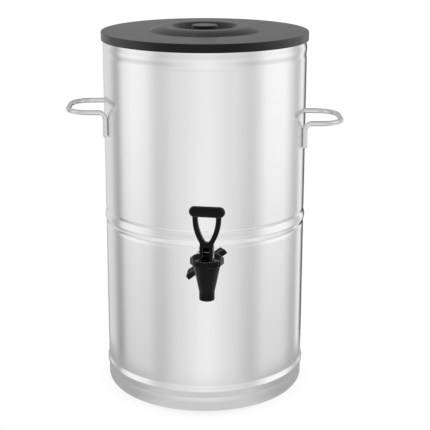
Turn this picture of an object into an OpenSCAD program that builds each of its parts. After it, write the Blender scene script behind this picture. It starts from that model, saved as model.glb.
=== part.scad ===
// Iced tea dispenser: a ribbed steel vessel with a lift-off lid, two wire handles and a lever tap.
// Millimetres. +Z is up, the table is z = 0, the vessel's axis is the Z axis and the tap faces -Y.

/* [Vessel] */
// Outside diameter of the steel wall
vessel_d = 250; // [220:1:280]
// Height of the wall's top edge above the table
rim_z = 446.6; // [410:0.1:490]
// Thickness of the steel sheet
sheet_t = 1; // [0.6:0.1:1.4]
// Radius of the rounded bottom edge of the base pan
base_corner_r = 9.5; // [5:0.5:13]
// Height of the seam where the wall stands on the base pan
seam_z = 20.5; // [18:0.5:23]
// Depth of the seam groove
seam_in = 0.6; // [0.2:0.1:1]
// How far the neck under the lid is set in from the wall
neck_in = 1.5; // [1:0.1:2]
// Fit gap between pieces that are welded or pressed together
weld_gap = 0.05; // [0.02:0.01:0.2]

/* [Ribs] */
// Height of the lower rib's foot above the seam
low_rib_up = 0.5; // [0.5:0.5:30]
// Width of the lower rib
low_rib_w = 16; // [14:0.5:22]
// How far the lower rib stands out
low_rib_h = 1.6; // [0.5:0.1:3]
// Height of the middle rib's crest
mid_rib_z = 222; // [214:0.5:240]
// Width of the middle rib, from groove to groove
mid_rib_w = 16; // [8:0.5:24]
// How far the middle rib stands out
mid_rib_h = 1.2; // [0.5:0.1:2.5]
// Height over which the wall runs into each groove
groove_w = 4.5; // [4:0.5:10]
// Depth of the grooves beside the ribs
groove_in = 0.5; // [0.2:0.1:0.8]
// Width of the roll under the rim
roll_w = 18; // [10:0.5:20]
// How far the roll stands out from the wall
roll_h = 0.3; // [0.2:0.1:2]

/* [Lid] */
// How far the lid's rim stands out from the wall
lid_over = 2; // [1:0.1:4]
// Height of the lid's rim
lid_rim_h = 10.2; // [9:0.1:11]
// Thickness of the lid's plate
lid_t = 3; // [2:0.1:4]
// Outer radius of the raised ring on the lid
ring_r = 68.5; // [62:0.5:74]
// Height of the raised ring
ring_h = 5.5; // [3:0.5:8]
// Radius at which the raised ring is highest
crest_r = 48; // [46:0.5:52]
// Radius of the finger recess where it leaves the crest
recess_r = 42; // [40:0.5:44]
// Depth of the finger recess below the lid's flat
recess_in = 4.5; // [2:0.5:6]
// Diameter of the lid's knob
knob_d = 32; // [24:0.5:38]
// How far the knob stands above the lid's flat
knob_up = 6.5; // [3:0.5:12]
// Thickness of the lid's gasket
gasket_t = 2; // [1.5:0.1:3]
// Play of the lid on the rim
lid_play = 0.7; // [0.4:0.1:1]

/* [Handles] */
// Diameter of the handle wire
wire_d = 6; // [5:0.5:8]
// Distance between the legs of a handle
handle_w = 82; // [70:1:96]
// Reach of the wire's centre from the wall
handle_reach = 43; // [38:1:52]
// Height of the left handle's loop
left_handle_z = 357.5; // [320:0.5:380]
// Height of the right handle's loop
right_handle_z = 343; // [320:0.5:380]
// How far the legs run down the wall
handle_drop = 28; // [20:1:40]
// Bend radius at the loop's corners
loop_bend_r = 27; // [16:1:30]
// Bend radius where the legs turn down
leg_bend_r = 8; // [5:0.5:9]

/* [Tap joint] */
// Height of the tap's shank axis
shank_z = 197.5; // [192:0.5:200]
// Diameter of the nipple's thread
nipple_d = 20; // [18:0.5:20]
// Bore of the nipple
nipple_bore = 11; // [8:0.5:12]
// Diameter of the nipple's flange and of both washers
flange_d = 28; // [26:0.5:29]
// Width of the lock nut across its flats
lock_nut_w = 27; // [26:0.5:28]
// Thickness of the lock nut
lock_nut_t = 6; // [4:0.5:8]
// Outer radius of the wing nut's wings
wing_r = 28; // [24:0.5:32]
// Width of the wings at the back
wing_back_w = 10; // [8:0.5:11]
// Width of the wings at the front
wing_front_w = 5.5; // [4:0.5:7]
// Angle of the wings from level
wing_turn = 36; // [0:1:180]
// Play of the wing nut on the nipple
nut_play = 0.3; // [0.2:0.05:0.35]

/* [Tap] */
// Distance of the spout's axis from the wall
spout_reach = 39; // [39:0.5:46]
// Outside diameter of the spout's tip
tip_d = 18; // [17:0.2:19]
// Bore of the spout
spout_bore = 11; // [9:0.5:12]
// Length of the spout's straight tip
tip_len = 9.5; // [8:0.5:14]
// Drop of the spout below the shank axis
spout_drop = 34.5; // [32:0.5:44]
// Diameter of the tap body's top
tap_top_d = 31.6; // [28:0.2:32.6]
// Height of the tap body's top above the shank axis
tap_top_up = 8.2; // [7.6:0.2:10]
// Width of the eight-sided bonnet across its corners
bonnet_d = 40; // [38:0.2:41]
// Height of the bonnet's sides
bonnet_h = 6.8; // [6:0.1:9]

/* [Lever] */
// Opening angle of the lever
lever_angle = 40; // [30:1:42]
// Lift of the stem at the opening angle
stem_lift = 4; // [3:0.1:4]
// Turn of the lever's plane from square to the front
lever_turn = -10; // [-15:1:15]
// Width of the lever's neck
neck_w = 15.6; // [14:0.2:16]
// Height of the finger loop's opening
loop_h = 29.4; // [26:0.2:34]
// Width of the finger loop's opening
loop_w = 21.2; // [18:0.2:24]
// Width of the loop's arms
arm_w = 5.8; // [5:0.2:8]
// Length of the lever's grip
grip_w = 41.6; // [40:0.2:48]
// Diameter of the lever's grip
grip_d = 12.6; // [9:0.2:14]
// Diameter of the hinge pin
pin_d = 3.6; // [3:0.1:4]
// Running clearance of pins and stem
run_gap = 0.06; // [0.03:0.01:0.1]

/* [Hidden] */
$fn = 96;

steel = [0.78, 0.78, 0.79];
black = [0.10, 0.10, 0.11];
charcoal = [0.25, 0.25, 0.26];
rubber = [0.75, 0.75, 0.72];
eps = 0.01;

// Points on each half wave and arc of a profile and round the wall that the washers fit,
// and extra length of cuts that run right through
wave_steps = 10;
arc_steps = 8;
edge_steps = 4;
core_steps = 720;
over = 1;

// Vessel
vessel_r = vessel_d / 2;
inside_r = vessel_r - sheet_t;
neck_r = vessel_r - neck_in;
low_rib_z = seam_z + low_rib_up + low_rib_w / 2;

// Lid, whose skirt ends just above the roll
lid_r = vessel_r + lid_over;
rest_gap = 0.1;
skirt_gap = 0.3;
plate_z = rim_z + rest_gap + gasket_t;
lid_z = plate_z + lid_t;
skirt_z = lid_z - lid_rim_h;
roll_top_z = skirt_z - skirt_gap;
roll_foot_z = roll_top_z - roll_w;
skirt_in_r = neck_r + lid_play;
locator_r = neck_r - sheet_t - lid_play;
locator_t = 2;
locator_drop = 1;
locator_z = skirt_z - locator_drop;
dish_w = 10;
dish_r = recess_r - dish_w;
lid_edge_r = 0.8;
knob_z = lid_z - recess_in;
knob_h = recess_in + knob_up;
knob_edge_r = 2;
knob_foot = 1;
screw_d = 5;
screw_head_d = 10;
screw_head_t = 3;
screw_grip = 6;
screw_play = 0.2;
screw_slot_w = 1.6;
screw_slot_in = 1.2;
screw_tip_room = 0.5;
washer_t = 1;
washer_rim = 1;
washer_d = screw_head_d + 2 * washer_rim;

// Handles
wire_r = wire_d / 2;
leg_x = sqrt(pow(vessel_r + wire_r + weld_gap, 2) - pow(handle_w / 2, 2));
loop_x = vessel_r + handle_reach;

// Tap joint, as distances from the vessel's axis toward the front
outer_washer_t = 2.5;
inner_washer_t = 3;
washer_sink = 5;
flange_t = 2;
nipple_run = 7.8;
nipple_end = 2;
tail_seal_t = 1.5;
tail_flange_t = 2.2;
tail_step = 3;
tail_wall = 2.5;
tail_gap = 0.2;
nut_gap = 0.5;
lip_gap = 0.15;
lip_t = 2.2;
nut_wall = 3;
wing_back_in = 0.5;
wing_front_in = 0.8;
wing_rake = 4;
hole_gap = 0.3;
outer_seat_y = vessel_r + outer_washer_t;
flange_front_y = outer_seat_y + flange_t;
nipple_front_y = flange_front_y + nipple_run;
tail_back_y = nipple_front_y + tail_seal_t;
tail_front_y = tail_back_y + tail_flange_t;
tail_d = nipple_d - 2 * tail_step;
tail_flange_d = nipple_d - 2 * tail_gap;
nut_back_y = flange_front_y + nut_gap;
nut_lip_y = tail_front_y + lip_gap;
nut_front_y = nut_lip_y + lip_t;
nut_hub_d = nipple_d + 2 * nut_wall;
wing_back_y = nut_back_y + wing_back_in;
wing_front_y = nut_front_y - wing_front_in;
inner_seat_y = inside_r - inner_washer_t;
nipple_back_y = inner_seat_y - lock_nut_t - nipple_end;
snug_d = nipple_d + 2 * weld_gap;
wall_hole_d = nipple_d + 2 * hole_gap;
lock_nut_sides = 6;
lock_nut_r = lock_nut_w / 2 / cos(180 / lock_nut_sides);

// Tank floor, which lies just under the lock nut
lock_nut_room = 2.5;
floor_z = shank_z - lock_nut_r - lock_nut_room;
floor_corner_r = 12;
floor_flange = 22;

// Tap
spout_y = vessel_r + spout_reach;
spout_z = shank_z - spout_drop;
tip_top_z = spout_z + tip_len;
tap_top_z = shank_z + tap_top_up;
chamber_d = tip_d;
seat_drop = 11;
seat_z = shank_z - seat_drop;
bonnet_sides = 8;
bonnet_seal_t = 0.7;
bonnet_seal_in = 0.8;
bonnet_z = tap_top_z + bonnet_seal_t;
bonnet_top_z = bonnet_z + bonnet_h;
corner_groove_r = 1.2;
cup_floor_t = 1.7;
cup_wall = 1.3;
cup_slope = 2.2;
cup_floor_z = bonnet_z + cup_floor_t;
cup_rim_r = bonnet_d / 2 * cos(180 / bonnet_sides) - cup_wall;
cup_floor_r = cup_rim_r - cup_slope;
boss_h = 4.5;
boss_gap = 0.1;
boss_z = tap_top_z - boss_h;
boss_d = chamber_d - 2 * boss_gap;

// Stem and lever, whose foot is a cam that lifts the stem by the same amount for each degree
stem_d = 5;
seal_d = 8.4;
seal_t = 1.8;
cam_gap = 0.2;
cam_rate = stem_lift / (lever_angle * PI / 180);
foot_h = 6.5;
pin_z = cup_floor_z + cam_gap + foot_h;
slot_w = 8.2;
eye_gap = 0.3;
eye_w = slot_w - 2 * eye_gap;
eye_r = 4.1;
eye_room = eye_r + eye_gap;
web_t = 2.6;
eye_bore = pin_d + 2 * run_gap;
stem_bore = stem_d + 2 * run_gap;
press_gap = 0.01;
toe_steps = 9;
toe_over = 3;
neck_front = 7;
neck_front_foot = 3;
neck_back = 4.6;
arm_deep = 6;
slot_top = 12;
loop_web = 4.9;
loop_foot = slot_top + loop_web;
loop_top = loop_foot + loop_h;
loop_foot_r = 3.4;
loop_half_w = loop_w / 2;
loop_arc_r = (pow(loop_half_w, 2) + pow(loop_h - loop_foot_r, 2) - pow(loop_foot_r, 2))
    / (2 * (loop_half_w - loop_foot_r));
loop_arc_x = loop_arc_r - loop_half_w;
loop_arc_foot = loop_foot + loop_foot_r * (1 - (loop_h - loop_foot_r) / (loop_arc_r - loop_foot_r));
grip_up = loop_top + grip_d / 2;
plug_room = 1.6;
plug_d = chamber_d - 2 * plug_room;
plug_h = 6;
plug_z = seat_z + rest_gap;
plug_hole = 4.5;
spring_wire = 0.8;
spring_turns = 4;
spring_sides = 6;
spring_room = 1.5;
spring_d = seal_d + 2 * spring_room;
spring_low_z = plug_z + plug_h + spring_wire / 2 + rest_gap;
spring_high_z = boss_z - spring_wire / 2 - rest_gap;
turn_steps = 12;

// Falls smoothly from 1 at t = 0 to 0 at t = 1
function fall(t) = (1 + cos(180 * t)) / 2;

// Outline points of half a wave from one crest or foot to the next
function half_wave(from, to) = [for (i = [1:wave_steps]) let (t = i / wave_steps)
    [to.x + (from.x - to.x) * fall(t), from.y + (to.y - from.y) * t]];

// Outline through a list of crests and feet
function waves(turns) = concat([turns[0]],
    [for (i = [1:len(turns) - 1]) each half_wave(turns[i - 1], turns[i])]);

// Outline of the lower rib
function low_points() = waves([
    [vessel_r, low_rib_z - low_rib_w / 2],
    [vessel_r + low_rib_h, low_rib_z],
    [vessel_r, low_rib_z + low_rib_w / 2]]);

// Outline of the middle rib, with a groove on either side
function middle_points() = let (half_w = mid_rib_w / 2) waves([
    [vessel_r, mid_rib_z - half_w - groove_w],
    [vessel_r - groove_in, mid_rib_z - half_w],
    [vessel_r + mid_rib_h, mid_rib_z],
    [vessel_r - groove_in, mid_rib_z + half_w],
    [vessel_r, mid_rib_z + half_w + groove_w]]);

// Outline of the roll, which has a groove below and ends in the narrower neck under the lid
function roll_points() = waves([
    [vessel_r, roll_foot_z - groove_w],
    [vessel_r - groove_in, roll_foot_z],
    [vessel_r + roll_h, roll_foot_z + roll_w / 2],
    [neck_r, roll_top_z]]);

function wall_points() = concat(
    [[vessel_r - seam_in, seam_z]], low_points(), middle_points(), roll_points(), [[neck_r, rim_z]]);

// The same points moved inward by the sheet's thickness, in reverse order
function inner_side(points) = [for (i = [len(points) - 1:-1:0]) points[i] - [sheet_t, 0]];

// Points of an arc in a profile
function arc(x, z, r, from, to, steps) = [for (i = [0:steps]) let (a = from + (to - from) * i / steps)
    [x + r * cos(a), z + r * sin(a)]];

// Outline of the lid's upper surface, from its flat up the domed ring and down into the recess
function lid_points() = concat(
    [for (i = [wave_steps:-1:0]) let (t = i / wave_steps)
        [crest_r + (ring_r - crest_r) * t, lid_z + ring_h * (1 - t * t)]],
    [for (p = waves([[lid_z + ring_h, recess_r], [knob_z, dish_r]])) [p.y, p.x]]);

// Solid of revolution from the middle rib's outline, moved inward by a distance
module middle_core(inward) {
    points = [for (p = middle_points()) p - [inward, 0]];
    low_z = min(points[0].y, shank_z) - flange_d;
    high_z = max(points[len(points) - 1].y, shank_z) + flange_d;
    r = vessel_r - inward;
    rotate_extrude($fn = core_steps) polygon(concat(
        [[0, low_z], [r, low_z]], points, [[r, high_z], [0, high_z]]));
}

// Cylinder on the shank axis between two distances from the vessel's axis
module on_shank(from_y, to_y, d) {
    translate([0, -from_y, shank_z]) rotate([90, 0, 0]) cylinder(h = to_y - from_y, d = d);
}

// Places children on the spout's axis
module on_spout(z) {
    translate([0, -spout_y, z]) children();
}

// Places children at the hinge pin, with the lever's turn
module on_pin() {
    on_spout(pin_z) rotate([0, 0, lever_turn]) children();
}

// Extrudes an outline drawn in Y and Z, centred on X
module across(w) {
    rotate([90, 0, 90]) translate([0, 0, -w / 2]) linear_extrude(w) children();
}

// Extrudes an outline drawn in X and Z, centred on Y
module through(w) {
    rotate([90, 0, 0]) translate([0, 0, -w / 2]) linear_extrude(w) children();
}

module body_shell() {
    color(steel) difference() {
        rotate_extrude() polygon(concat(wall_points(), inner_side(wall_points())));
        on_shank(inner_seat_y, outer_seat_y, wall_hole_d);
    }
}

module tank_floor() {
    r = inside_r - weld_gap;
    corner_x = r - floor_corner_r;
    corner_z = floor_z - floor_corner_r;
    foot_z = floor_z - floor_flange;
    outside = concat([[0, floor_z]],
        arc(corner_x, corner_z, floor_corner_r, 90, 0, arc_steps), [[r, foot_z]]);
    inside = concat([[r - sheet_t, foot_z]],
        arc(corner_x, corner_z, floor_corner_r - sheet_t, 0, 90, arc_steps), [[0, floor_z - sheet_t]]);
    color(steel) rotate_extrude() polygon(concat(outside, inside));
}

module base_pan() {
    corner_x = vessel_r - base_corner_r;
    inner_r = base_corner_r - sheet_t;
    turn_z = (base_corner_r + seam_z) / 2;
    outside = concat([[0, 0]], arc(corner_x, base_corner_r, base_corner_r, -90, 0, arc_steps),
        [[vessel_r, turn_z], [vessel_r - seam_in, seam_z]]);
    inside = concat([[vessel_r - seam_in - sheet_t, seam_z], [vessel_r - sheet_t, turn_z]],
        arc(corner_x, base_corner_r, inner_r, 0, -90, arc_steps), [[0, sheet_t]]);
    color(steel) rotate_extrude() polygon(concat(outside, inside));
}

// Wire handle on the +X side, with its loop at the given height
module handle(z) {
    half = handle_w / 2;
    straight_x = leg_x + leg_bend_r;
    corner_x = loop_x - loop_bend_r;
    for (side = [-1, 1]) {
        translate([leg_x, side * half, z - handle_drop]) {
            sphere(r = wire_r);
            cylinder(h = handle_drop - leg_bend_r, r = wire_r);
        }
        translate([straight_x, side * half, z - leg_bend_r]) rotate([90, 0, 0]) rotate([0, 0, 90])
            rotate_extrude(angle = 90) translate([leg_bend_r, 0]) circle(r = wire_r);
        translate([straight_x, side * half, z]) rotate([0, 90, 0])
            cylinder(h = corner_x - straight_x, r = wire_r);
        translate([corner_x, side * (half - loop_bend_r), z]) rotate([0, 0, side > 0 ? 0 : -90])
            rotate_extrude(angle = 90) translate([loop_bend_r, 0]) circle(r = wire_r);
    }
    translate([loop_x, loop_bend_r - half, z]) rotate([-90, 0, 0])
        cylinder(h = handle_w - 2 * loop_bend_r, r = wire_r);
}

module left_handle() {
    color(steel) mirror([1, 0, 0]) handle(left_handle_z);
}

module right_handle() {
    color(steel) handle(right_handle_z);
}

module lid_cover() {
    top = lid_points();
    under = [for (i = [len(top) - 1:-1:0]) top[i] - [0, lid_t]];
    rim = concat(
        [[skirt_in_r, plate_z], [skirt_in_r, skirt_z], [lid_r, skirt_z]],
        arc(lid_r - lid_edge_r, lid_z - lid_edge_r, lid_edge_r, 0, 90, edge_steps));
    locator = [[locator_r - locator_t, plate_z], [locator_r - locator_t, locator_z],
        [locator_r, locator_z], [locator_r, plate_z]];
    hole_r = screw_d / 2 + screw_play;
    color(charcoal) rotate_extrude() polygon(concat(
        rim, top, [[hole_r, knob_z], [hole_r, knob_z - lid_t]], under, locator));
}

module lid_gasket() {
    color(rubber) translate([0, 0, rim_z + rest_gap]) difference() {
        cylinder(h = gasket_t, r = skirt_in_r - rest_gap);
        translate([0, 0, -over]) cylinder(h = gasket_t + 2 * over, r = locator_r + rest_gap);
    }
}

module lid_knob() {
    r = knob_d / 2;
    color(black) translate([0, 0, knob_z]) difference() {
        rotate_extrude() polygon(concat([[0, 0], [r - knob_foot, 0], [r, knob_foot]],
            arc(r - knob_edge_r, knob_h - knob_edge_r, knob_edge_r, 0, 90, edge_steps), [[0, knob_h]]));
        translate([0, 0, -over]) cylinder(h = over + screw_grip + screw_tip_room, d = screw_d);
    }
}

module knob_washer() {
    color(rubber) translate([0, 0, knob_z - lid_t - washer_t]) difference() {
        cylinder(h = washer_t, d = washer_d);
        translate([0, 0, -over]) cylinder(h = washer_t + 2 * over, d = screw_d + screw_play);
    }
}

module knob_screw() {
    head_z = knob_z - lid_t - washer_t - screw_head_t;
    color(steel) translate([0, 0, head_z]) difference() {
        union() {
            cylinder(h = screw_head_t, d = screw_head_d);
            cylinder(h = screw_head_t + washer_t + lid_t + screw_grip, d = screw_d - 2 * weld_gap);
        }
        translate([-screw_head_d, -screw_slot_w / 2, -over])
            cube([2 * screw_head_d, screw_slot_w, screw_slot_in + over]);
    }
}

module shank_nipple() {
    color(steel) difference() {
        union() {
            on_shank(nipple_back_y, nipple_front_y, nipple_d);
            on_shank(outer_seat_y, flange_front_y, flange_d);
        }
        on_shank(nipple_back_y - over, nipple_front_y + over, nipple_bore);
    }
}

// Soft washer that takes up the wall's curve on its back
module outer_washer() {
    color(rubber) difference() {
        on_shank(vessel_r - washer_sink, outer_seat_y, flange_d);
        on_shank(vessel_r - washer_sink - over, outer_seat_y + over, snug_d);
        middle_core(-weld_gap);
    }
}

// Soft washer inside the wall
module inner_washer() {
    color(rubber) difference() {
        intersection() {
            on_shank(inner_seat_y, vessel_r, flange_d);
            middle_core(sheet_t + weld_gap);
        }
        on_shank(inner_seat_y - over, vessel_r + over, snug_d);
    }
}

module lock_nut() {
    color(steel) difference() {
        translate([0, lock_nut_t - inner_seat_y, shank_z]) rotate([90, 0, 0])
            cylinder(h = lock_nut_t, r = lock_nut_r, $fn = lock_nut_sides);
        on_shank(inner_seat_y - lock_nut_t - over, inner_seat_y + over, snug_d);
    }
}

module tail_gasket() {
    color(rubber) difference() {
        on_shank(nipple_front_y, tail_back_y, tail_flange_d);
        on_shank(nipple_front_y - over, tail_back_y + over, nipple_bore);
    }
}

// Clamp nut with two wings that narrow toward the front
module wing_nut() {
    deep = wing_front_y - wing_back_y;
    outline = [[0, -wing_back_w / 2], [-deep, -wing_front_w / 2],
        [-deep, wing_front_w / 2], [0, wing_back_w / 2]];
    color(black) difference() {
        union() {
            on_shank(nut_back_y, nut_front_y, nut_hub_d);
            translate([0, -wing_back_y, shank_z]) intersection() {
                for (side = [0, 180]) rotate([0, -wing_turn - side, 0]) rotate([90, 0, 90])
                    linear_extrude(wing_r) polygon(outline);
                rotate([90, 0, 0]) cylinder(h = deep, r1 = wing_r - wing_rake, r2 = wing_r);
            }
        }
        on_shank(nut_back_y - over, nut_lip_y, nipple_d + 2 * nut_play);
        on_shank(nut_lip_y - over, nut_front_y + over, tail_d + 2 * nut_play);
    }
}

module tap_body() {
    color(black) difference() {
        union() {
            on_spout(spout_z) cylinder(h = tip_len, d = tip_d);
            on_spout(tip_top_z) cylinder(h = tap_top_z - tip_top_z, d1 = tip_d, d2 = tap_top_d);
            on_shank(tail_back_y, spout_y, tail_d);
            on_shank(tail_back_y, tail_front_y, tail_flange_d);
        }
        on_spout(spout_z - over) cylinder(h = seat_z - spout_z + 2 * over, d = spout_bore);
        on_spout(seat_z) cylinder(h = tap_top_z - seat_z + over, d = chamber_d);
        on_shank(tail_back_y - over, spout_y, tail_d - 2 * tail_wall);
    }
}

module bonnet_gasket() {
    color(rubber) on_spout(tap_top_z) difference() {
        cylinder(h = bonnet_seal_t, d = tap_top_d - 2 * bonnet_seal_in);
        translate([0, 0, -over]) cylinder(h = bonnet_seal_t + 2 * over, d = boss_d + 2 * weld_gap);
    }
}

// Eight-sided cap with an open cup for the lever's foot, one corner to the front
module bonnet() {
    color(black) on_spout(0) difference() {
        union() {
            translate([0, 0, bonnet_z]) rotate([0, 0, 90])
                cylinder(h = bonnet_h, d = bonnet_d, $fn = bonnet_sides);
            translate([0, 0, boss_z]) cylinder(h = bonnet_z - boss_z + eps, d = boss_d);
        }
        translate([0, 0, cup_floor_z])
            cylinder(h = bonnet_top_z - cup_floor_z + eps, r1 = cup_floor_r, r2 = cup_rim_r);
        translate([0, 0, boss_z - over]) cylinder(h = cup_floor_z - boss_z + 2 * over, d = stem_bore);
        translate([0, 0, boss_z - over]) cylinder(h = over + seal_t, d = seal_d);
        for (i = [1:bonnet_sides]) rotate([0, 0, 360 * i / bonnet_sides])
            translate([0, bonnet_d / 2, bonnet_z - over])
                cylinder(h = bonnet_h + 2 * over, r = corner_groove_r);
    }
}

module stem_seal() {
    color(rubber) on_spout(boss_z + eps) difference() {
        cylinder(h = seal_t - 2 * eps, d = seal_d - 2 * weld_gap);
        translate([0, 0, -over]) cylinder(h = seal_t + 2 * over, d = stem_bore);
    }
}

module valve_stem() {
    rod_z = plug_z + plug_h - plug_hole;
    color(black) difference() {
        union() {
            on_spout(rod_z) cylinder(h = pin_z - rod_z, d = stem_d);
            on_pin() across(eye_w) circle(r = eye_r);
        }
        on_pin() rotate([0, 90, 0]) translate([0, 0, -eye_w]) cylinder(h = 2 * eye_w, d = eye_bore);
    }
}

module seat_plug() {
    color(rubber) on_spout(plug_z) difference() {
        cylinder(h = plug_h, d = plug_d);
        translate([0, 0, plug_h - plug_hole]) cylinder(h = plug_hole + over, d = stem_d + 2 * weld_gap);
    }
}

// Closing spring between the seat plug and the bonnet
module stem_spring() {
    sides = spring_sides;
    rings = spring_turns * turn_steps;
    points = [for (i = [0:rings]) for (j = [0:sides - 1])
        let (turn = 360 * i / turn_steps, side = 360 * j / sides,
             r = spring_d / 2 + spring_wire / 2 * cos(side))
        [r * cos(turn), r * sin(turn),
         spring_low_z + (spring_high_z - spring_low_z) * i / rings + spring_wire / 2 * sin(side)]];
    walls = [for (i = [0:rings - 1]) for (j = [0:sides - 1]) let (k = (j + 1) % sides)
        [i * sides + j, i * sides + k, (i + 1) * sides + k, (i + 1) * sides + j]];
    first = [for (j = [sides - 1:-1:0]) j];
    last = [for (j = [0:sides - 1]) rings * sides + j];
    color(steel) on_spout(0) polyhedron(points, concat([first], walls, [last]));
}

// Two arcs that rise from the loop's foot and straight sides up into the grip, widened by a margin
module loop_outline(margin, foot) {
    half_w = loop_half_w + margin;
    intersection() {
        translate([-loop_arc_x, loop_top]) circle(r = loop_arc_r + margin);
        translate([loop_arc_x, loop_top]) circle(r = loop_arc_r + margin);
        translate([-half_w, foot]) square([2 * half_w, loop_top - foot]);
    }
    translate([-half_w, loop_top]) square([2 * half_w, grip_d / 2]);
}

// Opening of the finger loop, with a round foot that runs into both arcs
module loop_opening() {
    loop_outline(0, loop_arc_foot);
    translate([0, loop_foot + loop_foot_r]) circle(r = loop_foot_r);
}

// Side outline of a prong: an involute in front, so that equal turns lift the stem by equal steps
module prong_outline() {
    toe = [for (i = [0:toe_steps])
        let (a = (lever_angle + toe_over) * i / toe_steps, reach = foot_h + cam_rate * a * PI / 180)
        [-reach * sin(a) - cam_rate * cos(a), -reach * cos(a) + cam_rate * sin(a)]];
    polygon(concat([[neck_back, -foot_h]], toe, [[-neck_front, neck_front_foot], [-neck_front, slot_top],
        [-arm_deep / 2, loop_foot], [arm_deep / 2, loop_foot], [neck_back, slot_top]]));
}

module lever() {
    bar = grip_w - grip_d;
    color(black) on_pin() {
        difference() {
            union() {
                across(neck_w) prong_outline();
                through(arm_deep) difference() {
                    loop_outline(arm_w, slot_top);
                    loop_opening();
                }
                translate([-bar / 2, 0, grip_up]) rotate([0, 90, 0]) cylinder(h = bar, d = grip_d);
                for (side = [-1, 1]) translate([side * bar / 2, 0, grip_up]) sphere(d = grip_d);
            }
            through(2 * bonnet_d) translate([-slot_w / 2, -bonnet_d]) square([slot_w, bonnet_d + eye_room]);
            translate([-slot_w / 2, -bonnet_d, 0]) cube([slot_w, bonnet_d + neck_back - web_t, slot_top]);
            rotate([0, 90, 0]) translate([0, 0, -neck_w]) cylinder(h = 2 * neck_w, d = pin_d + 2 * press_gap);
        }
    }
}

module lever_pin() {
    color(steel) on_pin() rotate([0, 90, 0]) translate([0, 0, -neck_w / 2]) cylinder(h = neck_w, d = pin_d);
}

body_shell();
tank_floor();
base_pan();
left_handle();
right_handle();
lid_cover();
lid_gasket();
lid_knob();
knob_washer();
knob_screw();
shank_nipple();
outer_washer();
inner_washer();
lock_nut();
tail_gasket();
wing_nut();
tap_body();
bonnet_gasket();
bonnet();
stem_seal();
valve_stem();
seat_plug();
stem_spring();
lever();
lever_pin();
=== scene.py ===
"""Dresses the packed iced tea dispenser: finishes, rounded mouldings, a spring, studio and camera."""

from __future__ import annotations

import logging
import math
from abc import ABC, abstractmethod
from dataclasses import dataclass
from enum import Enum
from typing import Any

import bmesh
import bpy
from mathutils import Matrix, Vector


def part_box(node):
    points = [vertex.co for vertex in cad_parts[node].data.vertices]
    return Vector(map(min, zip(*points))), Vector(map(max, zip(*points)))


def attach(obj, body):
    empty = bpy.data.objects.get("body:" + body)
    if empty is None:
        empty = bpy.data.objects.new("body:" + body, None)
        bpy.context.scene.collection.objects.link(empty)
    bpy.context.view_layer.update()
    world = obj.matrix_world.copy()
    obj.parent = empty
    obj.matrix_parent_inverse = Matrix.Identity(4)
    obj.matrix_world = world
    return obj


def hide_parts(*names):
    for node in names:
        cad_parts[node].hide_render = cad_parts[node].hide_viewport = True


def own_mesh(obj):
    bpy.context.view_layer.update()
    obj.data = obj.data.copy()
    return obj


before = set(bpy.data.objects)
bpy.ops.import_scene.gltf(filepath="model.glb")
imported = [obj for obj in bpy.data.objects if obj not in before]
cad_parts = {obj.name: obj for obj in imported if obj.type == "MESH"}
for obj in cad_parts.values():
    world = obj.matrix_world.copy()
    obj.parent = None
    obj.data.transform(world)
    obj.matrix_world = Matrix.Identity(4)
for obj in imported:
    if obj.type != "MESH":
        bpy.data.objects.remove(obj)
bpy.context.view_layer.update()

LOG = logging.getLogger("dispenser")
WHITE = (1.0, 1.0, 1.0, 1.0)
NOISE_MIDDLE = 0.5
FULL_TURN = 360.0
MIX_COLOUR_A = 6
MIX_COLOUR_B = 7
MIX_COLOUR_RESULT = 2
Triple = tuple[float, float, float]
Levels = tuple[tuple[float, float], ...]


class Grain(Enum):
    """The way in which a steel surface was worked, as noise cells per metre along X, Y and Z."""

    ROLLED_AROUND = (4.0, 4.0, 1400.0)
    DRAWN = (900.0, 900.0, 900.0)
    TURNED = (500.0, 90.0, 500.0)


class Ray(Enum):
    """The kinds of ray that the studio treats in their own way, by their Light Path output."""

    CAMERA = "Is Camera Ray"
    GLOSSY = "Is Glossy Ray"


class Signal:
    """A shader socket that takes part in Python expressions."""

    def __init__(self, graph: Graph, socket: bpy.types.NodeSocket) -> None:
        """Wrap one output socket of a graph."""
        self.graph = graph
        self.socket = socket

    def _math(self, operation: str, first: Operand, second: Operand) -> Signal:
        """Add one Math node for two operands."""
        return self.graph.node("ShaderNodeMath", {"operation": operation}, {0: first, 1: second})

    def __add__(self, other: Operand) -> Signal:
        """Add a value or a signal."""
        return self._math("ADD", self, other)

    def __radd__(self, other: Operand) -> Signal:
        """Add to a value."""
        return self._math("ADD", other, self)

    def __sub__(self, other: Operand) -> Signal:
        """Subtract a value or a signal."""
        return self._math("SUBTRACT", self, other)

    def __rsub__(self, other: Operand) -> Signal:
        """Subtract from a value."""
        return self._math("SUBTRACT", other, self)

    def __mul__(self, other: Operand) -> Signal:
        """Multiply by a value or a signal."""
        return self._math("MULTIPLY", self, other)

    def __rmul__(self, other: Operand) -> Signal:
        """Multiply a value."""
        return self._math("MULTIPLY", other, self)

    def __truediv__(self, other: Operand) -> Signal:
        """Divide by a value or a signal."""
        return self._math("DIVIDE", self, other)

    def __rtruediv__(self, other: Operand) -> Signal:
        """Divide a value."""
        return self._math("DIVIDE", other, self)

    def swing(self, amount: float) -> Signal:
        """Let a noise vary about zero, by an amount in all."""
        return amount * (self - NOISE_MIDDLE)


Operand = Signal | float


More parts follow.
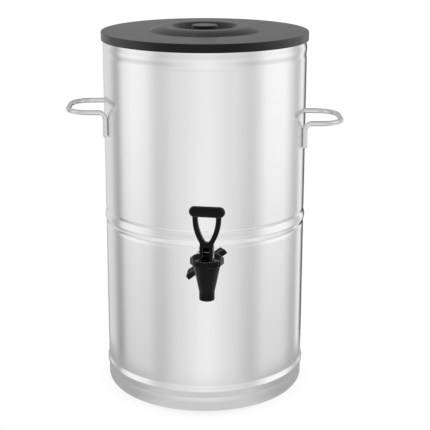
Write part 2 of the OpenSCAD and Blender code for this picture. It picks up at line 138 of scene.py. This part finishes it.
class Graph:
    """A node tree to which nodes are added one call at a time."""

    def __init__(self, tree: bpy.types.NodeTree) -> None:
        """Start with the emptied tree of a material or of the world."""
        self.tree = tree
        tree.nodes.clear()

    def node(
        self,
        kind: str,
        settings: dict[str, Any] | None = None,
        inputs: dict[int | str, Any] | None = None,
        output: int | str = 0,
    ) -> Signal:
        """Add a node.

        Args:
            kind: The node's type.
            settings: The node's own settings, which are set first. The key stops sets a ramp's stops.
            inputs: Values or signals for the node's sockets, by name or number.
            output: The socket to return, by name or number.

        Returns:
            The chosen output.
        """
        made = self.tree.nodes.new(kind)
        for name, value in (settings or {}).items():
            if name == "stops":
                self._set_stops(made.color_ramp, value)
            else:
                setattr(made, name, value)
        for key, value in (inputs or {}).items():
            if isinstance(value, Signal):
                self.tree.links.new(value.socket, made.inputs[key])
            else:
                made.inputs[key].default_value = value
        return Signal(self, made.outputs[output])

    @staticmethod
    def _set_stops(ramp: bpy.types.ColorRamp, stops: list[tuple[float, float]]) -> None:
        """Give a ramp grey stops.

        Args:
            ramp: The ramp of a Color Ramp node.
            stops: Pairs of a place from 0 to 1 and a grey level.
        """
        while len(ramp.elements) < len(stops):
            ramp.elements.new(1.0)
        for element, (place, level) in zip(ramp.elements, stops):
            element.position = place
            element.color = (level, level, level, 1.0)
        ramp.interpolation = "EASE"

    def noise(self, cells: Triple, detail: float) -> Signal:
        """Add noise over the object's own coordinates.

        Args:
            cells: Noise cells per metre along X, Y and Z.
            detail: Octaves of finer noise.

        Returns:
            The noise, from 0 to 1.
        """
        place = self.node("ShaderNodeTexCoord", output="Object")
        scaled = self.node("ShaderNodeMapping", {}, {"Vector": place, "Scale": cells})
        return self.node("ShaderNodeTexNoise", {}, {"Vector": scaled, "Scale": 1.0, "Detail": detail})

    def bump(self, height: Signal, strength: float, depth: float) -> Signal:
        """Turn a height into a bumpy normal of a strength from 0 to 1 and a depth in metres."""
        inputs = {"Strength": strength, "Distance": depth, "Height": height}
        return self.node("ShaderNodeBump", {}, inputs)

    def blend(self, share: Signal, low: Triple, high: Triple) -> Signal:
        """Mix two colours.

        Args:
            share: How much of the second colour shows.
            low: The first colour.
            high: The second colour.

        Returns:
            The mixed colour.
        """
        return self.node(
            "ShaderNodeMix",
            {"data_type": "RGBA"},
            {"Factor": share, MIX_COLOUR_A: (*low, 1.0), MIX_COLOUR_B: (*high, 1.0)},
            output=MIX_COLOUR_RESULT,
        )

    def mix_shaders(self, share: Signal, first: Signal, second: Signal) -> Signal:
        """Mix two shaders, with a share of the second."""
        return self.node("ShaderNodeMixShader", {}, {0: share, 1: first, 2: second})

    def seen_by(self, ray: Ray) -> Signal:
        """Give one for a ray of that kind, and otherwise zero."""
        return self.node("ShaderNodeLightPath", output=ray.value)

    def finish(self, kind: str, shader: Signal) -> None:
        """Connect a shader to a new output node of a type."""
        target = self.tree.nodes.new(kind)
        self.tree.links.new(shader.socket, target.inputs["Surface"])


def height_of(angle_deg: float) -> float:
    """Give the height, from -1 to 1, of a direction at an angle above the horizon."""
    return math.sin(math.radians(angle_deg))


def ramp_place(height: Operand) -> Operand:
    """Turn a height from -1 to 1 into a place on a ramp, from 0 to 1."""
    return 0.5 * height + 0.5


@dataclass(frozen=True)
class Rise:
    """A smooth rise from 0 to 1 between two values, of which the first may be the larger."""

    start: float
    end: float

    @classmethod
    def of_angles(cls, start_deg: float, end_deg: float) -> Rise:
        """Make a rise between the heights of two directions."""
        return cls(height_of(start_deg), height_of(end_deg))

    def over(self, value: Signal) -> Signal:
        """Follow a signal.

        Args:
            value: The signal that is measured.

        Returns:
            The share, from 0 to 1.
        """
        return value.graph.node(
            "ShaderNodeMapRange",
            {"interpolation_type": "SMOOTHSTEP"},
            {"Value": value, "From Min": self.start, "From Max": self.end},
        )


@dataclass(frozen=True)
class Finish(ABC):
    """A surface finish, which makes one material and shares it among pieces."""

    name: str
    tone: Triple
    roughness: float

    @abstractmethod
    def surface(self, graph: Graph) -> Signal:
        """Build the finish's shader.

        Args:
            graph: The material's empty graph.

        Returns:
            The shader that goes to the material's surface.
        """

    def material(self) -> bpy.types.Material:
        """Find or make the finish's material.

        Returns:
            The material.
        """
        found = bpy.data.materials.get(self.name)
        if found is not None:
            return found
        made = bpy.data.materials.new(self.name)
        made.use_nodes = True
        graph = Graph(made.node_tree)
        graph.finish("ShaderNodeOutputMaterial", self.surface(graph))
        return made

    def dress(self, *pieces: bpy.types.Object) -> list[bpy.types.Object]:
        """Put the finish on pieces.

        Args:
            pieces: Objects whose slots all take the material.

        Returns:
            The same pieces.
        """
        for piece in pieces:
            piece.data.materials.clear()
            piece.data.materials.append(self.material())
        return list(pieces)

    def shaded(self, share: float) -> Triple:
        """Give the tone at a share of its brightness."""
        return tuple(channel * share for channel in self.tone)


@dataclass(frozen=True)
class SatinSteel(Finish):
    """Stainless steel with fine lines from rolling, drawing or turning, and faint clouds."""

    grain: Grain = Grain.ROLLED_AROUND
    grain_detail: float = 5.0
    line_strength: float = 0.25
    line_depth: float = 0.00004
    line_dullness: float = 0.06
    cloud_cells: Triple = (11.0, 11.0, 7.0)
    cloud_detail: float = 3.0
    cloud_dullness: float = 0.05
    cloud_share: float = 0.6
    dark_share: float = 0.95

    def surface(self, graph: Graph) -> Signal:
        """Build bright metal whose colour and gloss follow the lines and clouds.

        Args:
            graph: The material's empty graph.

        Returns:
            The metal's shader.
        """
        line = graph.noise(self.grain.value, self.grain_detail)
        cloud = graph.noise(self.cloud_cells, self.cloud_detail)
        mottle = self.cloud_share * cloud + (1.0 - self.cloud_share) * line
        rough = self.roughness + line.swing(self.line_dullness) + cloud.swing(self.cloud_dullness)
        return graph.node(
            "ShaderNodeBsdfPrincipled",
            {},
            {
                "Base Color": graph.blend(mottle, self.shaded(self.dark_share), self.tone),
                "Metallic": 1.0,
                "Roughness": rough,
                "Normal": graph.bump(line, self.line_strength, self.line_depth),
            },
        )


@dataclass(frozen=True)
class MouldedPlastic(Finish):
    """Injection moulded plastic with a fine mould texture, and painted shade deep in its corners.

    The corner is the distance, in metres, within which other surfaces make a corner. Its openness is the
    share of open directions over which painted shade, a dull dark diffuse, gives way to glossy plastic.
    """

    specular: float
    corner: float = 0.008
    openness: Rise = Rise(0.3, 0.75)
    corner_shade_share: float = 0.2
    pebble_cells: Triple = (2600.0, 2600.0, 2600.0)
    pebble_detail: float = 2.0
    pebble_strength: float = 0.18
    pebble_depth: float = 0.00003
    pebble_dullness: float = 0.05
    cloud_cells: Triple = (45.0, 45.0, 45.0)
    cloud_detail: float = 4.0
    cloud_dullness: float = 0.10
    dark_share: float = 0.8
    light_share: float = 1.25

    def surface(self, graph: Graph) -> Signal:
        """Build dark plastic whose gloss varies a little, with painted shade in place of it in deep
        corners.

        Args:
            graph: The material's empty graph.

        Returns:
            The plastic's shader.
        """
        pebble = graph.noise(self.pebble_cells, self.pebble_detail)
        cloud = graph.noise(self.cloud_cells, self.cloud_detail)
        tint = graph.blend(cloud, self.shaded(self.dark_share), self.shaded(self.light_share))
        rough = self.roughness + cloud.swing(self.cloud_dullness) + pebble.swing(self.pebble_dullness)
        glossy_plastic = graph.node(
            "ShaderNodeBsdfPrincipled",
            {},
            {
                "Base Color": tint,
                "Roughness": rough,
                "Specular IOR Level": self.specular,
                "Normal": graph.bump(pebble, self.pebble_strength, self.pebble_depth),
            },
        )
        # Painted shade: a dull dark diffuse takes over where ambient occlusion finds surfaces close by.
        painted_corner_shade = graph.node("ShaderNodeBsdfDiffuse", {}, {"Color": (*self.shaded(self.corner_shade_share), 1.0)})
        open_share = graph.node("ShaderNodeAmbientOcclusion", {}, {"Distance": self.corner}, output="AO")
        return graph.mix_shaders(self.openness.over(open_share), painted_corner_shade, glossy_plastic)


@dataclass(frozen=True)
class SoftRubber(Finish):
    """Cut rubber or silicone with a dull, slightly dusty face."""

    speck_cells: Triple = (1900.0, 1900.0, 1900.0)
    speck_detail: float = 3.0
    speck_strength: float = 0.4
    speck_depth: float = 0.00005
    speck_share: float = 0.5
    cloud_cells: Triple = (90.0, 90.0, 90.0)
    cloud_detail: float = 3.0
    cloud_dullness: float = 0.1
    dark_share: float = 0.85

    def surface(self, graph: Graph) -> Signal:
        """Build a dull surface with fine specks.

        Args:
            graph: The material's empty graph.

        Returns:
            The rubber's shader.
        """
        speck = graph.noise(self.speck_cells, self.speck_detail)
        cloud = graph.noise(self.cloud_cells, self.cloud_detail)
        mottle = self.speck_share * speck + (1.0 - self.speck_share) * cloud
        return graph.node(
            "ShaderNodeBsdfPrincipled",
            {},
            {
                "Base Color": graph.blend(mottle, self.shaded(self.dark_share), self.tone),
                "Roughness": self.roughness + cloud.swing(self.cloud_dullness),
                "Normal": graph.bump(speck, self.speck_strength, self.speck_depth),
            },
        )


SHEET_STEEL = SatinSteel("sheet_steel", (0.97, 0.97, 0.975), 0.18)
WIRE_STEEL = SatinSteel("wire_steel", (0.80, 0.80, 0.805), 0.17, Grain.DRAWN, line_dullness=0.02)
TURNED_STEEL = SatinSteel("turned_steel", (0.78, 0.78, 0.785), 0.28, Grain.TURNED)
LID_PLASTIC = MouldedPlastic("lid_moulding", (0.058, 0.058, 0.059), 0.28, specular=0.08)
KNOB_PLASTIC = MouldedPlastic("knob_moulding", (0.024, 0.024, 0.025), 0.26, specular=0.10)
# The tap's wider corner spreads painted shade deeper into its slot and cup.
TAP_PLASTIC = MouldedPlastic("tap_moulding", (0.009, 0.009, 0.010), 0.14, specular=0.13, corner=0.014)
PALE_RUBBER = SoftRubber("pale_rubber", (0.62, 0.61, 0.57), 0.7)


@dataclass(frozen=True)
class Softening:
    """Rounds a moulding's edges as a mould does.

    The solid is filled with small cells, smoothed, and thinned out again. The pull is how far each pass of
    smoothing goes, and keep is the share of faces that stay.
    """

    join: float = 1e-6
    cell: float = 0.00042
    pull: float = 0.5
    passes: int = 3
    keep: float = 0.4

    def apply(self, node: bpy.types.Object) -> None:
        """Add the rounding to a node as modifiers.

        Args:
            node: A closed solid of the frame.
        """
        weld = node.modifiers.new("Join edges", "WELD")
        weld.merge_threshold = self.join
        cells = node.modifiers.new("Fill with cells", "REMESH")
        cells.mode = "VOXEL"
        cells.voxel_size = self.cell
        cells.use_smooth_shade = True
        smooth = node.modifiers.new("Round edges", "SMOOTH")
        smooth.factor = self.pull
        smooth.iterations = self.passes
        thin = node.modifiers.new("Thin out", "DECIMATE")
        thin.ratio = self.keep


@dataclass
class SubAssembly(ABC):
    """A group of pieces that is made and dressed together."""

    def node(self, name: str) -> bpy.types.Object:
        """Find a solid of the frame by its name."""
        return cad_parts[name]

    def nodes(self, *names: str) -> list[bpy.types.Object]:
        """Find several solids of the frame by their names."""
        return [self.node(name) for name in names]

    def unmirrored(self, *names: str) -> None:
        """Keep solids out of the steel's mirror images."""
        for node in self.nodes(*names):
            node.visible_glossy = False

    def build(self) -> None:
        """Shape the pieces further where they need it."""

    @abstractmethod
    def dress(self) -> list[bpy.types.Object]:
        """Put finishes on all of the sub-assembly's pieces.

        Returns:
            The dressed pieces.
        """


@dataclass
class Vessel(SubAssembly):
    """The ribbed wall, the floor of the tank and the base pan."""

    def dress(self) -> list[bpy.types.Object]:
        """Dress all three in sheet steel."""
        return SHEET_STEEL.dress(*self.nodes("body_shell", "tank_floor", "base_pan"))


@dataclass
class WireHandles(SubAssembly):
    """The two wire handles."""

    def dress(self) -> list[bpy.types.Object]:
        """Dress both in drawn wire's steel."""
        return WIRE_STEEL.dress(*self.nodes("left_handle", "right_handle"))


@dataclass
class Lid(SubAssembly):
    """The lid with its knob, gasket, washer and screw."""

    def build(self) -> None:
        """Keep the dark cover out of mirror images."""
        self.unmirrored("lid_cover")

    def dress(self) -> list[bpy.types.Object]:
        """Dress the plastic, rubber and steel of the lid.

        Returns:
            The dressed pieces.
        """
        return [
            *LID_PLASTIC.dress(self.node("lid_cover")),
            *KNOB_PLASTIC.dress(self.node("lid_knob")),
            *PALE_RUBBER.dress(*self.nodes("lid_gasket", "knob_washer")),
            *TURNED_STEEL.dress(self.node("knob_screw")),
        ]


@dataclass
class TapJoint(SubAssembly):
    """The nipple through the wall, its washers and nuts."""

    softening: Softening = Softening()

    def build(self) -> None:
        """Round the wing nut's edges, and keep what is dark out of mirror images."""
        self.softening.apply(self.node("wing_nut"))
        self.unmirrored("wing_nut", "tail_gasket")

    def dress(self) -> list[bpy.types.Object]:
        """Dress the steel, rubber and plastic of the joint.

        Returns:
            The dressed pieces.
        """
        return [
            *TURNED_STEEL.dress(*self.nodes("shank_nipple", "lock_nut")),
            *PALE_RUBBER.dress(*self.nodes("outer_washer", "inner_washer", "tail_gasket")),
            *TAP_PLASTIC.dress(self.node("wing_nut")),
        ]


@dataclass
class Tap(SubAssembly):
    """The tap's body, bonnet, stem and lever."""

    softening: Softening = Softening()

    def build(self) -> None:
        """Round the edges of the moulded pieces, and keep the tap out of mirror images."""
        for node in self.nodes("tap_body", "bonnet", "lever"):
            self.softening.apply(node)
        self.unmirrored("tap_body", "bonnet", "lever", "lever_pin", "bonnet_gasket")
        self.unmirrored("valve_stem", "stem_seal", "seat_plug")

    def dress(self) -> list[bpy.types.Object]:
        """Dress the plastic, rubber and steel of the tap.

        Returns:
            The dressed pieces.
        """
        return [
            *TAP_PLASTIC.dress(*self.nodes("tap_body", "bonnet", "lever", "valve_stem")),
            *PALE_RUBBER.dress(*self.nodes("bonnet_gasket", "stem_seal", "seat_plug")),
            *TURNED_STEEL.dress(self.node("lever_pin")),
        ]


@dataclass
class ClosingSpring(SubAssembly):
    """The coil spring round the stem, whose end turns lie closer than the rest.

    The lift, how far the stem rises, is not used.
    """

    name: str = "closing_spring"
    wire_r: float = 0.0004
    turns: int = 4
    turn_steps: int = 36
    wire_sides: int = 10
    lift: float = 0.004

    def build(self) -> None:
        """Wind the spring in the room of its solid."""
        low, high = (Vector(corner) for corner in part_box("stem_spring"))
        mesh = bpy.data.meshes.new(self.name)
        self._wind(mesh, low, high)
        spring = bpy.data.objects.new(self.name, mesh)
        bpy.context.scene.collection.objects.link(spring)
        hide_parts("stem_spring")
        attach(spring, "vessel")
        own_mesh(spring)

    def dress(self) -> list[bpy.types.Object]:
        """Dress the spring in turned steel."""
        return TURNED_STEEL.dress(bpy.data.objects[self.name])

    def _wind(self, mesh: bpy.types.Mesh, low: Vector, high: Vector) -> None:
        """Fill a mesh with the wire.

        Args:
            mesh: The empty mesh.
            low: The lowest corner of the spring's room.
            high: The highest corner of the spring's room.
        """
        centre = (low + high) / 2
        coil_r = (high.x - low.x) / 2 - self.wire_r
        rise = high.z - low.z - 2 * self.wire_r
        steps = self.turns * self.turn_steps
        sides = range(self.wire_sides)
        wire = bmesh.new()
        rings = []
        for step in range(steps + 1):
            turn = math.tau * step / self.turn_steps
            z = low.z + self.wire_r + rise * self._eased(step / steps)
            points = [self._point(centre, coil_r, turn, z, side) for side in sides]
            rings.append([wire.verts.new(point) for point in points])
        for first, second in zip(rings, rings[1:]):
            for side in sides:
                wire.faces.new((first[side - 1], first[side], second[side], second[side - 1]))
        wire.faces.new(rings[0])
        wire.faces.new(rings[-1])
        bmesh.ops.recalc_face_normals(wire, faces=wire.faces)
        wire.to_mesh(mesh)
        wire.free()
        mesh.shade_smooth()

    @staticmethod
    def _eased(share: float) -> float:
        """Make a share start and end slowly."""
        return share * share * (3.0 - 2.0 * share)

    def _point(self, centre: Vector, coil_r: float, turn: float, z: float, side: int) -> Vector:
        """Find a point on the wire's surface.

        Args:
            centre: The middle of the spring's room.
            coil_r: The radius of the coil at the wire's middle.
            turn: The angle round the coil, in radians.
            z: The height of the wire's middle.
            side: The point's number round the wire.

        Returns:
            The point.
        """
        angle = math.tau * side / self.wire_sides
        r = coil_r + self.wire_r * math.cos(angle)
        x = centre.x + r * math.cos(turn)
        y = centre.y + r * math.sin(turn)
        return Vector((x, y, z + self.wire_r * math.sin(angle)))


@dataclass(frozen=True)
class Lamp:
    """A soft square lamp that points at the object, and that mirror images leave out."""

    name: str
    place: Triple
    size: float
    power: float
    aim: Triple = (0.0, 0.0, 0.23)

    def build(self) -> None:
        """Make the lamp."""
        data = bpy.data.lights.new(self.name, "AREA")
        data.size = self.size
        data.energy = self.power
        lamp = bpy.data.objects.new(self.name, data)
        lamp.visible_glossy = False
        lamp.location = self.place
        lamp.rotation_euler = (Vector(self.aim) - Vector(self.place)).to_track_quat("-Z", "Y").to_euler()
        bpy.context.scene.collection.objects.link(lamp)


@dataclass(frozen=True)
class Floor:
    """A pale floor that takes the object's shadow and runs out into white.

    Mirror images show a grey glow around the foot of the object, painted shade that is paler in front
    than at the sides. What is clear of the shadow or of the foot is told by the distance from the object's
    axis, in metres.
    """

    half: float = 4.0
    drop: float = 0.0002
    clear_of_shadow: Rise = Rise(0.118, 0.145)
    shadow_share: float = 0.18
    clear_of_foot: Rise = Rise(0.17, 0.24)
    sideways: Rise = Rise(0.15, 0.7)
    # Tones of the painted shade at the foot, in front and at the sides.
    front_shade_tone: Triple = (0.62, 0.62, 0.62)
    side_shade_tone: Triple = (0.42, 0.42, 0.42)

    def build(self) -> None:
        """Lay the floor under the object."""
        half = self.half
        mesh = bpy.data.meshes.new("floor")
        corners = [(-half, -half, 0.0), (half, -half, 0.0), (half, half, 0.0), (-half, half, 0.0)]
        mesh.from_pydata(corners, [], [(0, 1, 2, 3)])
        mesh.materials.append(self._paint())
        floor = bpy.data.objects.new("floor", mesh)
        floor.location.z = -self.drop
        bpy.context.scene.collection.objects.link(floor)

    def _paint(self) -> bpy.types.Material:
        """Make the floor's material.

        Returns:
            The material.
        """
        paint = bpy.data.materials.new("floor_white")
        paint.use_nodes = True
        graph = Graph(paint.node_tree)
        place = graph.node("ShaderNodeTexCoord", output="Object")
        x = graph.node("ShaderNodeSeparateXYZ", {}, {0: place}, output="X")
        distance = graph.node("ShaderNodeVectorMath", {"operation": "LENGTH"}, {0: place}, output="Value")
        aside = self.sideways.over(x * x / (distance * distance))
        painted_foot_shade_tone = graph.blend(aside, self.front_shade_tone, self.side_shade_tone)
        lit = graph.node("ShaderNodeBsdfDiffuse", {}, {"Color": WHITE})
        white = graph.node("ShaderNodeEmission", {}, {"Color": WHITE, "Strength": 1.0})
        # Painted shade: a grey glow that only mirror images see near the foot, darker at the sides.
        grey = graph.node("ShaderNodeEmission", {}, {"Color": painted_foot_shade_tone, "Strength": 1.0})
        clear = graph.node("ShaderNodeBsdfTransparent")
        bright = 1.0 - self.shadow_share * (1.0 - self.clear_of_shadow.over(distance))
        seen = graph.mix_shaders(bright, lit, white)
        mirrored = graph.mix_shaders(self.clear_of_foot.over(distance), grey, clear)
        indirect = graph.mix_shaders(graph.seen_by(Ray.GLOSSY), clear, mirrored)
        shader = graph.mix_shaders(graph.seen_by(Ray.CAMERA), indirect, seen)
        graph.finish("ShaderNodeOutputMaterial", shader)
        return paint


@dataclass(frozen=True)
class Room:
    """A room that is white to the eye and even for soft light, with pale and grey walls in mirror images.

    A wall's place is in degrees from the front, to the right, and a height's in degrees above the horizon.
    The walls darken low at the sides and high at the front. Below them lies the lit floor, at the back
    stands a grey screen, and the rear of the room is dark low down in the middle.
    """

    ambient: float = 0.20
    walls: Levels = (
        (-180.0, 0.60),
        (-150.0, 0.76),
        (-138.0, 0.75),
        (-118.0, 0.42),
        (-103.0, 0.88),
        (-88.0, 0.97),
        (-74.0, 0.93),
        (-53.0, 0.66),
        (-30.0, 0.80),
        (0.0, 0.905),
        (30.0, 0.80),
        (53.0, 0.67),
        (76.0, 1.0),
        (98.0, 1.0),
        (127.0, 0.56),
        (145.0, 1.0),
        (157.0, 0.06),
        (172.0, 0.04),
        (180.0, 0.60),
    )
    heights: Levels = (
        (-90.0, 0.25),
        (-80.0, 0.30),
        (-68.0, 0.70),
        (-53.0, 1.0),
        (0.0, 1.0),
        (14.0, 0.95),
        (28.0, 0.90),
        (45.0, 0.90),
        (90.0, 0.80),
    )
    side_low: Rise = Rise.of_angles(-10.0, -28.0)
    side_fall: float = 0.43
    front_high: Rise = Rise.of_angles(-17.0, -5.0)
    front_fall: float = 0.04
    floor_low: Rise = Rise.of_angles(-29.0, -35.0)
    floor_aside_low: Rise = Rise.of_angles(-36.0, -44.0)
    floor_level: float = 0.95
    floor_share: float = 0.7
    back: Rise = Rise(0.75, 0.95)
    back_high: Rise = Rise(0.0, 0.08)
    back_level: float = 0.55
    rear: Rise = Rise(0.0, 0.2)
    rear_middle: Rise = Rise(0.18, 0.05)
    rear_low: Rise = Rise.of_angles(-12.0, -24.0)
    rear_fall: float = 0.75

    def build(self) -> None:
        """Make the world that stands for the room."""
        world = bpy.data.worlds.new("studio")
        bpy.context.scene.world = world
        world.use_nodes = True
        graph = Graph(world.node_tree)
        level = self._mirror_level(graph)
        even = graph.node("ShaderNodeBackground", {}, {"Color": WHITE, "Strength": self.ambient})
        mirrored = graph.node("ShaderNodeBackground", {}, {"Color": level, "Strength": 1.0})
        white = graph.node("ShaderNodeBackground", {}, {"Color": WHITE, "Strength": 1.0})
        soft = graph.mix_shaders(graph.seen_by(Ray.GLOSSY), even, mirrored)
        shader = graph.mix_shaders(graph.seen_by(Ray.CAMERA), soft, white)
        graph.finish("ShaderNodeOutputWorld", shader)

    def _mirror_level(self, graph: Graph) -> Signal:
        """Find how bright the room is in mirror images.

        Args:
            graph: The world's graph.

        Returns:
            The level in the direction that is looked at.
        """
        toward = graph.node("ShaderNodeTexCoord", output="Generated")
        x, y, z = (graph.node("ShaderNodeSeparateXYZ", {}, {0: toward}, output=axis) for axis in "XYZ")
        turn = graph.node("ShaderNodeMath", {"operation": "ARCTAN2"}, {0: x, 1: 0.0 - y})
        side_stops = [(azimuth / FULL_TURN + 0.5, level) for azimuth, level in self.walls]
        side = graph.node("ShaderNodeValToRGB", {"stops": side_stops}, {"Fac": turn / math.tau + 0.5})
        height_stops = [(ramp_place(height_of(angle)), level) for angle, level in self.heights]
        height = graph.node("ShaderNodeValToRGB", {"stops": height_stops}, {"Fac": ramp_place(z)})
        aside = x * x
        side_loss = self.side_fall * self.side_low.over(z) * aside
        front_loss = self.front_fall * self.front_high.over(z) * (1.0 - aside)
        wall = side * (1.0 - side_loss - front_loss)
        lit_floor = self.floor_share * self.floor_low.over(z) * (1.0 - self.floor_aside_low.over(z) * aside)
        room = wall + lit_floor * (self.floor_level - wall)
        behind = self.back.over(y) * self.back_high.over(z)
        rear = self.rear_middle.over(aside / (1.0 - z * z)) * self.rear.over(y) * self.rear_low.over(z)
        shade = 1.0 - self.rear_fall * rear
        return shade * height * (room + behind * (self.back_level - room))


@dataclass(frozen=True)
class Studio:
    """The floor, the room and the lamps."""

    floor: Floor = Floor()
    room: Room = Room()
    lamps: tuple[Lamp, ...] = (
        Lamp("top_panel", (0.0, 0.3, 1.9), 1.3, 11.0),
        Lamp("left_panel", (-1.7, 0.55, 0.6), 0.9, 40.0),
        Lamp("right_panel", (1.7, 0.55, 0.6), 0.9, 48.0),
    )

    def build(self) -> None:
        """Make all of the studio."""
        for item in (self.floor, self.room, *self.lamps):
            item.build()


@dataclass(frozen=True)
class PhotoCamera:
    """The camera, a little above the object and turned a little to its left, with lengths in metres."""

    distance: float = 1.416
    height: float = 0.629
    pitch_deg: float = 15.19
    turn_deg: float = 0.85
    lens_mm: float = 96.78
    sensor_mm: float = 36.0
    shift: tuple[float, float] = (0.0237, -0.05)

    def build(self) -> None:
        """Make the camera and look through it."""
        turn = math.radians(self.turn_deg)
        data = bpy.data.cameras.new("photo_camera")
        data.sensor_width = self.sensor_mm
        data.lens = self.lens_mm
        data.shift_x, data.shift_y = self.shift
        camera = bpy.data.objects.new("photo_camera", data)
        camera.location = (-self.distance * math.sin(turn), -self.distance * math.cos(turn), self.height)
        camera.rotation_euler = (math.radians(90.0 - self.pitch_deg), 0.0, -turn)
        bpy.context.scene.collection.objects.link(camera)
        bpy.context.scene.camera = camera


def main() -> None:
    """Build the camera and the studio, then make and dress each sub-assembly in turn."""
    logging.basicConfig(level=logging.INFO, format="%(name)s: %(message)s")
    bpy.context.scene.view_settings.view_transform = "Standard"
    PhotoCamera().build()
    Studio().build()
    for part in (Vessel(), WireHandles(), Lid(), TapJoint(), Tap(), ClosingSpring()):
        part.build()
        for piece in part.dress():
            LOG.info("%s dressed in %s", piece.name, piece.active_material.name)


if __name__ == "__main__":
    main()
